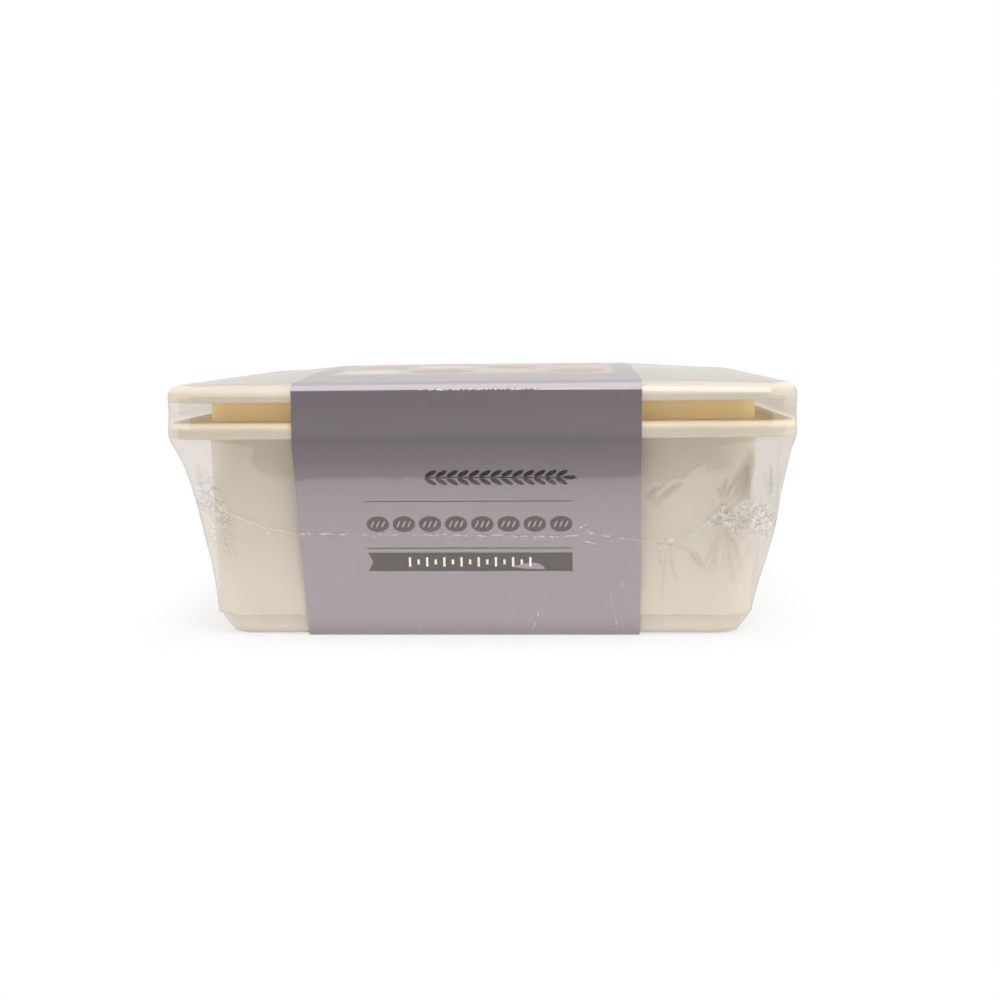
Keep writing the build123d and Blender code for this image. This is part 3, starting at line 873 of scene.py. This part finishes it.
def side_film_line(side, height):
    """Points round one side of the pack at a height, from the sleeve's front edge
    to its back edge, each with its outward direction."""
    half_x = smooth_value(LEFT_FALL if side < 0 else RIGHT_FALL, height / MM) * MM
    card_depth = flap_depth(max(height, card_bottom)) + OVER_CARD
    free_depth = smooth_value(FRONT_FALL, height / MM) * MM
    corner_depth = free_depth + (card_depth - free_depth) * CLING[side]
    share = max(0.0, min(1.0, height / rim_bottom))
    radius = FOOT_CORNER + (RIM_CORNER - FOOT_CORNER) * share ** 2
    start_x = (flap_left(height) if side < 0 else card_right) * side + SLIT
    line = []
    for step in range(FRONT_STEPS):
        along = step / FRONT_STEPS
        x = start_x + (half_x - radius - start_x) * along
        depth = card_depth + (corner_depth - card_depth) * along ** 2
        line.append((x, -depth, 0.0, -1.0))
    for step in range(CORNER_STEPS):
        angle = math.radians(90) * step / CORNER_STEPS
        line.append((half_x - radius + radius * math.sin(angle),
                     radius - corner_depth - radius * math.cos(angle),
                     math.sin(angle), -math.cos(angle)))
    reach = corner_depth - radius
    for step in range(SIDE_STEPS + 1):
        line.append((half_x, reach * (2 * step / SIDE_STEPS - 1), 1.0, 0.0))
    front = line[:FRONT_STEPS + CORNER_STEPS]
    back = [(x, -y, out_x, -out_y) for x, y, out_x, out_y in reversed(front)]
    return [(x * side, y, out_x * side, out_y) for x, y, out_x, out_y in line + back]


def run_along(line):
    """Distance of each point along a line, counted on from the front's middle."""
    distances = [abs(line[0][0])]
    for start, end in zip(line, line[1:]):
        distances.append(distances[-1] + math.dist(start[:2], end[:2]))
    return distances


def store(piece, name, amounts):
    """Stores an amount for each vertex, for the film's finish."""
    attribute = piece.data.attributes.new(name, "FLOAT", "POINT")
    attribute.data.foreach_set("value", amounts)


def relief_on_side(side, distance, distances, height):
    """Relief of a side film at a point, held to nothing at its edges."""
    push, amount, doubled_and_shade = film_relief(distance * side, height, 7.3 * side)
    fade = min(1.0, (side_top - height) / FADE_TOP, max(0.0, height - FOOT_STEP) / FADE_EDGE,
               (distance - distances[0]) / FADE_EDGE, (distances[-1] - distance) / FADE_EDGE)
    return max(push, DEEPEST) * fade, amount * fade, doubled_and_shade * fade


def build_side_film(name, side):
    """Film below the rim on one side, from its top at the rim down to the foot."""
    vertices = []
    amounts = []
    folded = []
    for row in range(FALL_ROWS + 1):
        height = side_top + (FILM_FOOT - side_top) * row / FALL_ROWS
        line = side_film_line(side, height)
        distances = run_along(line)
        for (x, y, out_x, out_y), distance in zip(line, distances):
            push, amount, doubled_and_shade = relief_on_side(side, distance, distances, height)
            vertices.append((x + out_x * push, y + out_y * push, height))
            amounts.append(amount)
            folded.append(doubled_and_shade)
    piece = mesh_piece(name, vertices, grid_faces(FALL_ROWS + 1, len(line), side < 0), film_clear)
    store(piece, "crumple", amounts)
    store(piece, "doubled_and_shade", folded)
    return thicken(piece, FILM_THICKNESS)


def build_flap_film(name, side):
    """Film lying on one flap of the sleeve, with the weld's puckers on the front."""
    amounts = []

    def loose_film(x, z):
        across, up = x / MM, z / MM
        slack = noise.noise(Vector((across / FLAP_SLACK_SIZE[0], up / FLAP_SLACK_SIZE[1], 2.0 + side)))
        loose = FLAP_LIE + FLAP_SLACK_HEIGHT * slack
        amount = 0.0
        if side < 0:
            off_weld = abs(z - weld_height(x)) / MM
            pucker = noise.noise(Vector((across / FLAP_PUCKER_SIZE[0], up / FLAP_PUCKER_SIZE[1], 1.0)))
            loose += FLAP_PUCKER_HEIGHT * math.exp(-off_weld / FLAP_PUCKER_REACH) * pucker
            amount = 0.3 * math.exp(-off_weld)
        amounts.append(amount)
        return loose * MM + card_wave(x, z)

    line = even_points(FLAP_FACE, FLAP_FILM_STEPS[1])
    piece = hanging_sheet(name, side, line, FLAP_FILM_STEPS[0], loose_film, film_clear)
    store(piece, "crumple", amounts)
    return thicken(piece, FILM_THICKNESS / 2)


film_clear = clear_film("polyolefin shrink film, clear")
stand_for(build_side_film("film_left_side", -1), "film_left", "tub")
stand_for(build_side_film("film_right_side", 1), "film_right", "tub")
stand_for(build_flap_film("film_front_flap", -1), "film_front", "front_flap")
stand_for(build_flap_film("film_back_flap", 1), "film_back", "back_flap")


# The film cap. The same shrink film over the lid: it hangs past the rim at the
# sides, turns over the lid's edge, and is stretched like a tent from the bowed
# card to the lid's edges.
CAP_FACE = 135.35 * MM
CAP_EDGE = 5.2 * MM
CAP_CORNER = 18.3 * MM
CAP_STEP = 2.4 * MM
SKIRT_ROWS = 14
EDGE_ROWS = 7
TENT_ROWS = 46
TENT_DROOP = {-1: 1.0, 1: 0.7}
OVER_LID = 0.12 * MM
SKIRT_CLEAR = 0.05 * MM
SKIRT_DRAWN_IN = 0.3 * MM
SKIRT_SLACK = 4.5 * MM
TENT_LOOSE = 0.2 * MM


def cap_plan():
    """Points round the lid, anticlockwise from the sleeve's front left edge, with
    a point at each edge of the sleeve."""
    left, right, inner = card_left - SLIT, card_right + SLIT, CAP_FACE - CAP_CORNER
    stops = [
        [(left, -CAP_FACE), (right, -CAP_FACE), (inner, -CAP_FACE)],
        [(CAP_FACE, -inner), (CAP_FACE, inner)],
        [(inner, CAP_FACE), (right, CAP_FACE), (left, CAP_FACE), (-inner, CAP_FACE)],
        [(-CAP_FACE, inner), (-CAP_FACE, -inner)],
    ]
    centres = [(inner, -inner), (inner, inner), (-inner, inner), (-inner, -inner)]
    points = []
    for turn, (side_stops, centre) in enumerate(zip(stops, centres)):
        for start, end in zip(side_stops, side_stops[1:]):
            start, end = Vector(start), Vector(end)
            count = max(1, round((end - start).length / CAP_STEP))
            points += [start.lerp(end, index / count) for index in range(count)]
        for step in range(CORNER_STEPS):
            angle = math.radians(90) * (turn - 1 + step / CORNER_STEPS)
            points.append(Vector(centre) + CAP_CORNER * Vector((math.cos(angle), math.sin(angle))))
    start, end = Vector((-inner, -CAP_FACE)), Vector((left, -CAP_FACE))
    count = round((end - start).length / CAP_STEP)
    return points + [start.lerp(end, index / count) for index in range(count)]


def tent_height(x, y):
    """Height of the film over the lid: on the card, and sloping off it to the lid's edges."""
    flat = lid_high.z + OVER_LID
    if card_left <= x <= card_right:
        return card_top_height(x, y) + FILM_ROOM
    edge_x = card_left if x < card_left else card_right
    lid_edge = math.copysign(CAP_FACE - CAP_EDGE, edge_x)
    share = max(0.0, min(1.0, (x - edge_x) / (lid_edge - edge_x)))
    card_edge = card_top_height(edge_x, y) + FILM_ROOM
    return flat + (card_edge - flat) * (1 - share) ** TENT_DROOP[int(math.copysign(1, edge_x))]


def build_cap(name):
    """The cap as rings round the lid: up the skirt, over the edge, and in to the middle."""
    plan = cap_plan()
    count = len(plan)
    skirt_bottom = rim_bottom + SKIRT_CLEAR
    slack_middle = (tub_high.z + lip_bottom) / 2
    edge_start = lid_high.z - CAP_EDGE
    vertices = []
    for row in range(SKIRT_ROWS + 1):
        z = skirt_bottom + (edge_start - skirt_bottom) * row / SKIRT_ROWS
        drawn_in = 1 - SKIRT_DRAWN_IN * hump(z - slack_middle, SKIRT_SLACK) / CAP_FACE
        vertices += [(point.x * drawn_in, point.y * drawn_in, z) for point in plan]
    shoulder = (CAP_FACE - CAP_EDGE) / CAP_FACE
    for row in range(1, EDGE_ROWS + 1):
        angle = math.radians(90) * row / EDGE_ROWS
        inward = 1 - (1 - shoulder) * (1 - math.cos(angle))
        for point in plan:
            spot = point * inward
            top = tent_height(spot.x, spot.y)
            vertices.append((spot.x, spot.y, edge_start + (top - edge_start) * math.sin(angle)))
    for row in range(1, TENT_ROWS):
        share = 1 - row / TENT_ROWS
        for point in plan:
            spot = point * shoulder * share
            wrinkle = noise.noise(Vector((spot.x / (30 * MM), spot.y / (9 * MM), 4.0)))
            loose = TENT_LOOSE * (1 - share) * abs(wrinkle)
            vertices.append((spot.x, spot.y, tent_height(spot.x, spot.y) + loose))
    rows = SKIRT_ROWS + EDGE_ROWS + TENT_ROWS
    # The skirt is left open in front of the sleeve and behind it.
    near = 1e-6
    faces = []
    for row in range(rows - 1):
        for index in range(count):
            following = (index + 1) % count
            start, end = plan[index], plan[following]
            by_sleeve = (abs(start.y) > CAP_FACE - near and abs(end.y) > CAP_FACE - near
                         and min(start.x, end.x) >= card_left - SLIT - near
                         and max(start.x, end.x) <= card_right + SLIT + near)
            level = vertices[(row + 1) * count + index][2]
            if by_sleeve and level <= fold_height:
                continue
            low, high = row * count, (row + 1) * count
            faces.append((low + index, low + following, high + following, high + index))
    vertices.append((0.0, 0.0, tent_height(0.0, 0.0)))
    last = (rows - 1) * count
    for index in range(count):
        faces.append((last + index, last + (index + 1) % count, len(vertices) - 1))
    piece = mesh_piece(name, vertices, faces, film_clear)
    return thicken(piece, FILM_THICKNESS)


stand_for(build_cap("film_cap_skin"), "film_cap", "lid")


# The weld: a thin bead of melted film where a hot wire sealed the bag. A hem
# like it runs round the foot's step, and short creases lie where the film is
# folded on itself. All stand a little off the film's face and look milky.
WELD_HALF = 0.2 * MM
HEM_HALF = 0.2 * MM
HEM_HEIGHT = FOOT_STEP + 0.5 * MM
BEAD_SIZE = 2.2 * MM
WELD_STEPS = 160
SIDE_WELD_STEPS = 180
WELD_END = 258 * MM
WELD_RISE = 0.16 * MM
CREASE_RISE = 0.17 * MM
CREASE_STEPS = 8
STROKE_RISE = 0.04 * MM


def milky_film(name):
    """Film melted or folded into a bead: milky, with clear gaps between."""
    material, add, place = new_material(name)
    beads = add("TexNoise", {"Vector": place, "Scale": 1 / BEAD_SIZE, "Detail": 2.0})
    whiteness = add("MapRange", {"Value": beads, "From Min": 0.38, "From Max": 0.66, "To Min": 0.08,
        "To Max": 0.7})
    clear = add("BsdfTransparent", {"Color": "FFFFFF"})
    bead = add("BsdfPrincipled", {"Base Color": "F6F3F0", "Roughness": 0.25, "IOR": 1.5})
    surface = add("MixShader", {0: whiteness, 1: clear, 2: bead})
    add("OutputMaterial", {"Surface": surface})
    return material


def folded_film(name):
    """Film creased double: clear, but a warm shade darker, with a dull shine."""
    material, add = new_material(name)[:2]
    clear = add("BsdfTransparent", {"Color": FILM_CREASED})
    shine = add("BsdfPrincipled", {"Base Color": "B9AFA2", "Roughness": 0.3, "IOR": 1.5})
    surface = add("MixShader", {0: 0.08, 1: clear, 2: shine})
    add("OutputMaterial", {"Surface": surface})
    return material


def build_bead(name, runs, body, material):
    """Low ridges along runs of (point, outward direction, half width)."""
    vertices = []
    faces = []
    for run in runs:
        start = len(vertices)
        for index, (point, outward, half) in enumerate(run):
            ahead = run[min(index + 1, len(run) - 1)][0] - run[max(index - 1, 0)][0]
            across = outward.cross(ahead).normalized() * half
            vertices += [point - across, point + outward * half * 0.6, point + across]
        for index in range(len(run) - 1):
            corner = start + 3 * index
            for edge, following in ((0, 1), (1, 2), (2, 0)):
                faces.append((corner + edge, corner + following,
                              corner + 3 + following, corner + 3 + edge))
        last = start + 3 * (len(run) - 1)
        faces += [(start, start + 2, start + 1), (last, last + 1, last + 2)]
    piece = mesh_piece(name, vertices, faces, material)
    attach(piece, body)
    return piece


def front_crease(x0, z0, x1, z1, width):
    """A tapered crease on the front flap's film, between two points in mm."""
    run = []
    for step in range(CREASE_STEPS + 1):
        share = step / CREASE_STEPS
        x, z = (x0 + (x1 - x0) * share) * MM, (z0 + (z1 - z0) * share) * MM
        half = width * MM * (0.15 + math.sin(math.pi * share)) / 2
        run.append((on_flap(x, z, CREASE_RISE), Vector((0, -1, 0)), half))
    return run


film_milky = milky_film("shrink film, melted or folded milky")
front_run = []
for index in range(WELD_STEPS + 1):
    x = card_left + 2 * card_half * index / WELD_STEPS
    front_run.append((on_flap(x, weld_height(x), WELD_RISE), Vector((0, -1, 0)), WELD_HALF))
build_bead("film_weld_front", [front_run], "front_flap", film_milky)
# Creases on the front flap's film: both ends and the width in mm.
CREASES = [
    (-28.0, 1.5, -23.4, 10.7, 0.3), (21.7, 1.5, 25.3, 12.6, 0.3), (59, 1.5, 55.5, 20.7, 0.3),
    (40, 47, 46, 50.5, 0.35), (42, 43.5, 50, 41, 0.3), (44, 49, 48, 45.5, 0.3),
    (60, 20, 61.5, 26, 0.2),
]
creases = [front_crease(*crease) for crease in CREASES]
build_bead("film_creases_front", creases, "front_flap", film_milky)


def on_side(side, along, height):
    """A point of a side film's face and its outward direction, from the distance
    along the film and the height."""
    line = side_film_line(side, height)
    distances = run_along(line)
    passed = sum(1 for distance in distances if distance <= along * side)
    index = min(len(line) - 2, max(0, passed - 1))
    share = (along * side - distances[index]) / (distances[index + 1] - distances[index])
    share = max(0.0, min(1.0, share))
    x, y, out_x, out_y = (a + (b - a) * share for a, b in zip(line[index], line[index + 1]))
    push = relief_on_side(side, along * side, distances, height)[0]
    return Vector((x + out_x * push, y + out_y * push, height)), Vector((out_x, out_y, 0)).normalized()


def side_stroke(side, points, width):
    """A tapered ridge on a side film through points given in mm."""
    run = []
    last = len(points) - 1
    for index, (along, height) in enumerate(points):
        point, outward = on_side(side, along * MM, height * MM)
        half = width * MM * (0.2 + 0.8 * math.sin(math.pi * index / last)) / 2
        run.append((point + outward * STROKE_RISE, outward, half))
    return run


def straight(x0, z0, x1, z1, steps=6):
    """Even points of a straight run."""
    return [(x0 + (x1 - x0) * i / steps, z0 + (z1 - z0) * i / steps) for i in range(steps + 1)]


def loop(x, z, size, steps=10):
    """Points of a small loop, a little flatter than round."""
    angles = [2 * math.pi * i / steps for i in range(steps + 1)]
    return [(x + size * math.cos(a), z + size * 0.9 * math.sin(a)) for a in angles]


def scattered_flecks(side, seed, count, knots):
    """Short bent creases round the knots, for places where the film is crumpled."""
    chance = random.Random(seed)
    runs = []
    for number in range(count):
        x0, z0, reach = knots[number % len(knots)]
        x = x0 + chance.gauss(0, reach * 0.5)
        z = z0 + chance.gauss(0, reach * 0.5)
        lean = math.atan2(z - z0, x - x0) + chance.gauss(0, 0.6)
        shape = chance.random()
        length = chance.uniform(0.4, 1.0) if shape < 0.75 else chance.uniform(1.2, 2.4)
        width = chance.uniform(0.35, 0.7) if shape < 0.75 else chance.uniform(0.18, 0.3)
        points = straight(x, z, x + length * math.cos(lean), z + length * math.sin(lean), 4)
        runs.append(side_stroke(side, points, width))
    return runs


def side_run(side, height_at, half):
    """A bead's run round one side film, from the sleeve's edge to the back."""
    first = abs(card_left if side < 0 else card_right) + SLIT
    run = []
    for index in range(SIDE_WELD_STEPS + 1):
        along = side * (first + (WELD_END - first) * index / SIDE_WELD_STEPS)
        run.append((*on_side(side, along, height_at(along)), half))
    return run


film_folded = folded_film("shrink film, folded double")
for side, name in ((-1, "film_weld_left"), (1, "film_weld_right")):
    weld_run = side_run(side, weld_height, WELD_HALF)
    hem_run = side_run(side, lambda along: HEM_HEIGHT, HEM_HALF)
    build_bead(name, [weld_run, hem_run], "tub", film_milky)

right_milky = scattered_flecks(1, 5, 50, [
    (104.5, 54, 2.5), (106, 52.5, 4), (112, 57.5, 2), (117, 53, 4), (109, 48.5, 3.5), (103, 55, 2)])
right_milky += [
    side_stroke(1, [(103.5, 54.2), (106, 52.5), (107.8, 50.2), (109.2, 47.6)], 0.8),
    side_stroke(1, straight(99.5, 53, 105, 54.6), 0.8),
    side_stroke(1, straight(80.5, 41.5, 86.5, 45.4), 0.6),
    side_stroke(1, straight(75, 41.2, 80, 40.9), 0.5),
    side_stroke(1, loop(111.9, 57.9, 0.9), 0.4),
    side_stroke(1, straight(116.4, 52.5, 117, 44), 0.3),
]
build_bead("film_flecks_right", right_milky, "tub", film_milky)
right_folded = scattered_flecks(1, 9, 16, [(110, 52, 4), (102, 60, 4), (81, 41.5, 2.5), (105, 49, 4)])
build_bead("film_folds_right", right_folded, "tub", film_folded)
left_milky = scattered_flecks(-1, 12, 18, [(-112, 55, 3), (-110, 52, 3), (-113, 47, 4)])
left_milky += [
    side_stroke(-1, straight(-91.4, 48.4, -92.0, 42), 0.5),
    side_stroke(-1, straight(-93.4, 48.8, -90.2, 48), 0.6),
]
build_bead("film_flecks_left", left_milky, "tub", film_milky)
left_folded = scattered_flecks(-1, 21, 14, [
    (-112, 58, 3), (-110, 51.5, 2.5), (-112, 44, 3), (-110, 38, 3)])
left_folded += [
    side_stroke(-1, loop(-110.7, 51.9, 1.1), 0.3),
    side_stroke(-1, loop(-108.3, 52, 0.6), 0.35),
]
build_bead("film_folds_left", left_folded, "tub", film_folded)


# The studio: a white table lit from above, from the front and from the upper
# right, with weak fill from both sides. The table ends a hand's width in front
# of the pack. The upright film mirrors the dark room beyond it, but the camera
# sees white there.
TABLE_WHITE = "F8F8F8"
ROOM_DARK = "2A2A2C"
ROOM_FLOOR = "505053"
TABLE_FRONT = -0.2525
SHADOW_NEAR = 0.118
SHADOW_FAR = 0.17
ROOM_END = -3.0
ROOM_HALF = 3.0
WALL_TOP = 1.0
FLOOR_HALF = 6.0
WHITENED = 0.62


def ray_kinds(add):
    """Whether the camera sees a place straight, and whether a finish mirrors it."""
    paths = add("LightPath").outputs
    mirrored = add("Math", {0: paths["Is Glossy Ray"], 1: paths["Is Transmission Ray"]},
        operation="MAXIMUM")
    return paths["Is Camera Ray"], mirrored


def studio_board(name, hex_colour, white_from, white_to, whitened, mirrored_white):
    """Matt board. Near the pack it shows the camera its own colour and the pack's
    shadow, partly whitened, and further out the plain white of the backdrop.
    Film and card may mirror it as white too."""
    material, add, place = new_material(name)
    board = add("BsdfDiffuse", {"Color": hex_colour})
    backdrop = add("Emission", {"Color": "FFFFFF", "Strength": 1.0})
    out = square_reach(add, place)[1]
    outer = add("MapRange", {"Value": out, "From Min": white_from, "From Max": white_to,
        "To Min": whitened}, interpolation_type="SMOOTHSTEP")
    by_camera, mirrored = ray_kinds(add)
    shown = add("Math", {0: outer, 1: by_camera}, operation="MULTIPLY")
    if mirrored_white:
        shown = add("Math", {0: shown, 1: mirrored}, operation="MAXIMUM")
    surface = add("MixShader", {0: shown, 1: board, 2: backdrop})
    add("OutputMaterial", {"Surface": surface})
    return material


table_board = studio_board("white table board", TABLE_WHITE, SHADOW_NEAR, SHADOW_FAR, WHITENED, True)
room_floor = studio_board("dark room floor", ROOM_FLOOR, 0.1, 0.2, 1.0, False)
room_wall = studio_board("dark room wall", ROOM_DARK, 0.1, 0.2, 1.0, False)
BOARDS = [
    ("table", table_board, TABLE_FRONT, FLOOR_HALF, FLOOR_HALF, 0),
    ("dark_room_floor", room_floor, ROOM_END, TABLE_FRONT, FLOOR_HALF, 0),
    ("dark_room_wall", room_wall, ROOM_END, ROOM_END, ROOM_HALF, WALL_TOP),
]
for name, board, front, back, half, top in BOARDS:
    corners = [(-half, front, 0), (half, front, 0), (half, back, top), (-half, back, top)]
    mesh_piece(name, corners, [(0, 1, 2, 3)], board, smooth=False)


# Soft rectangular lamps that face the pack: name, place, width, height, watts,
# and whether film and card mirror them. The low ones are cross-polarised.
LAMPS = [
    ("front_softbox", (0.0, -1.7, 0.14), 2.4, 0.26, 14.0, False),
    ("top_softbox", (0.0, -0.2, 1.6), 2.4, 2.2, 12.0, True),
    ("right_softbox", (0.56, -1.0, 1.25), 0.96, 1.15, 7.5, True),
    ("left_fill", (-1.4, -0.2, 0.12), 1.0, 0.24, 4.4, False),
    ("right_fill", (1.4, -0.2, 0.12), 1.0, 0.24, 4.4, False),
]
for name, place, width, height, watts, mirrored in LAMPS:
    lamp_data = bpy.data.lights.new(name, "AREA")
    lamp_data.shape = "RECTANGLE"
    lamp_data.size = width
    lamp_data.size_y = height
    lamp_data.energy = watts
    lamp = bpy.data.objects.new(name, lamp_data)
    lamp.location = place
    lamp.rotation_euler = (-lamp.location).to_track_quat("-Z", "Y").to_euler()
    lamp.visible_glossy = mirrored
    bpy.context.scene.collection.objects.link(lamp)

world = bpy.data.worlds.new("soft white studio")
bpy.context.scene.world = world
world.use_nodes = True
world.node_tree.nodes.clear()
add = functools.partial(add_node, world.node_tree)
by_camera, mirrored = ray_kinds(add)
seen = add("Math", {0: by_camera, 1: mirrored}, operation="MAXIMUM")
room = add("Background", {"Color": "FFFFFF", "Strength": 0.6})
backdrop = add("Background", {"Color": "FFFFFF", "Strength": 1.0})
sky = add("MixShader", {0: seen, 1: room, 2: backdrop})
add("OutputWorld", {"Surface": sky})

# The camera stands in front, a little right of the middle and above the lid,
# at the distance, height and turn that fit the photograph's edges.
SENSOR_WIDTH = 36.0
FOCAL_SHARE = 1.502
PICTURE_SHIFT = -0.0355
camera_data = bpy.data.cameras.new("camera")
camera_data.sensor_width = SENSOR_WIDTH
camera_data.lens = SENSOR_WIDTH * FOCAL_SHARE
camera_data.shift_y = PICTURE_SHIFT
camera = bpy.data.objects.new("camera", camera_data)
camera.location = (35.6 * MM, -762.2 * MM, 131.5 * MM)
down = math.radians(5.02)
to_left = math.radians(2.42)
aim = Vector((-math.sin(to_left) * math.cos(down), math.cos(to_left) * math.cos(down), -math.sin(down)))
roll = Quaternion((0, 0, 1), math.radians(-0.46))
camera.rotation_mode = "QUATERNION"
camera.rotation_quaternion = aim.to_track_quat("-Z", "Y") @ roll
bpy.context.scene.collection.objects.link(camera)
bpy.context.scene.camera = camera
bpy.context.scene.view_settings.view_transform = "Standard"
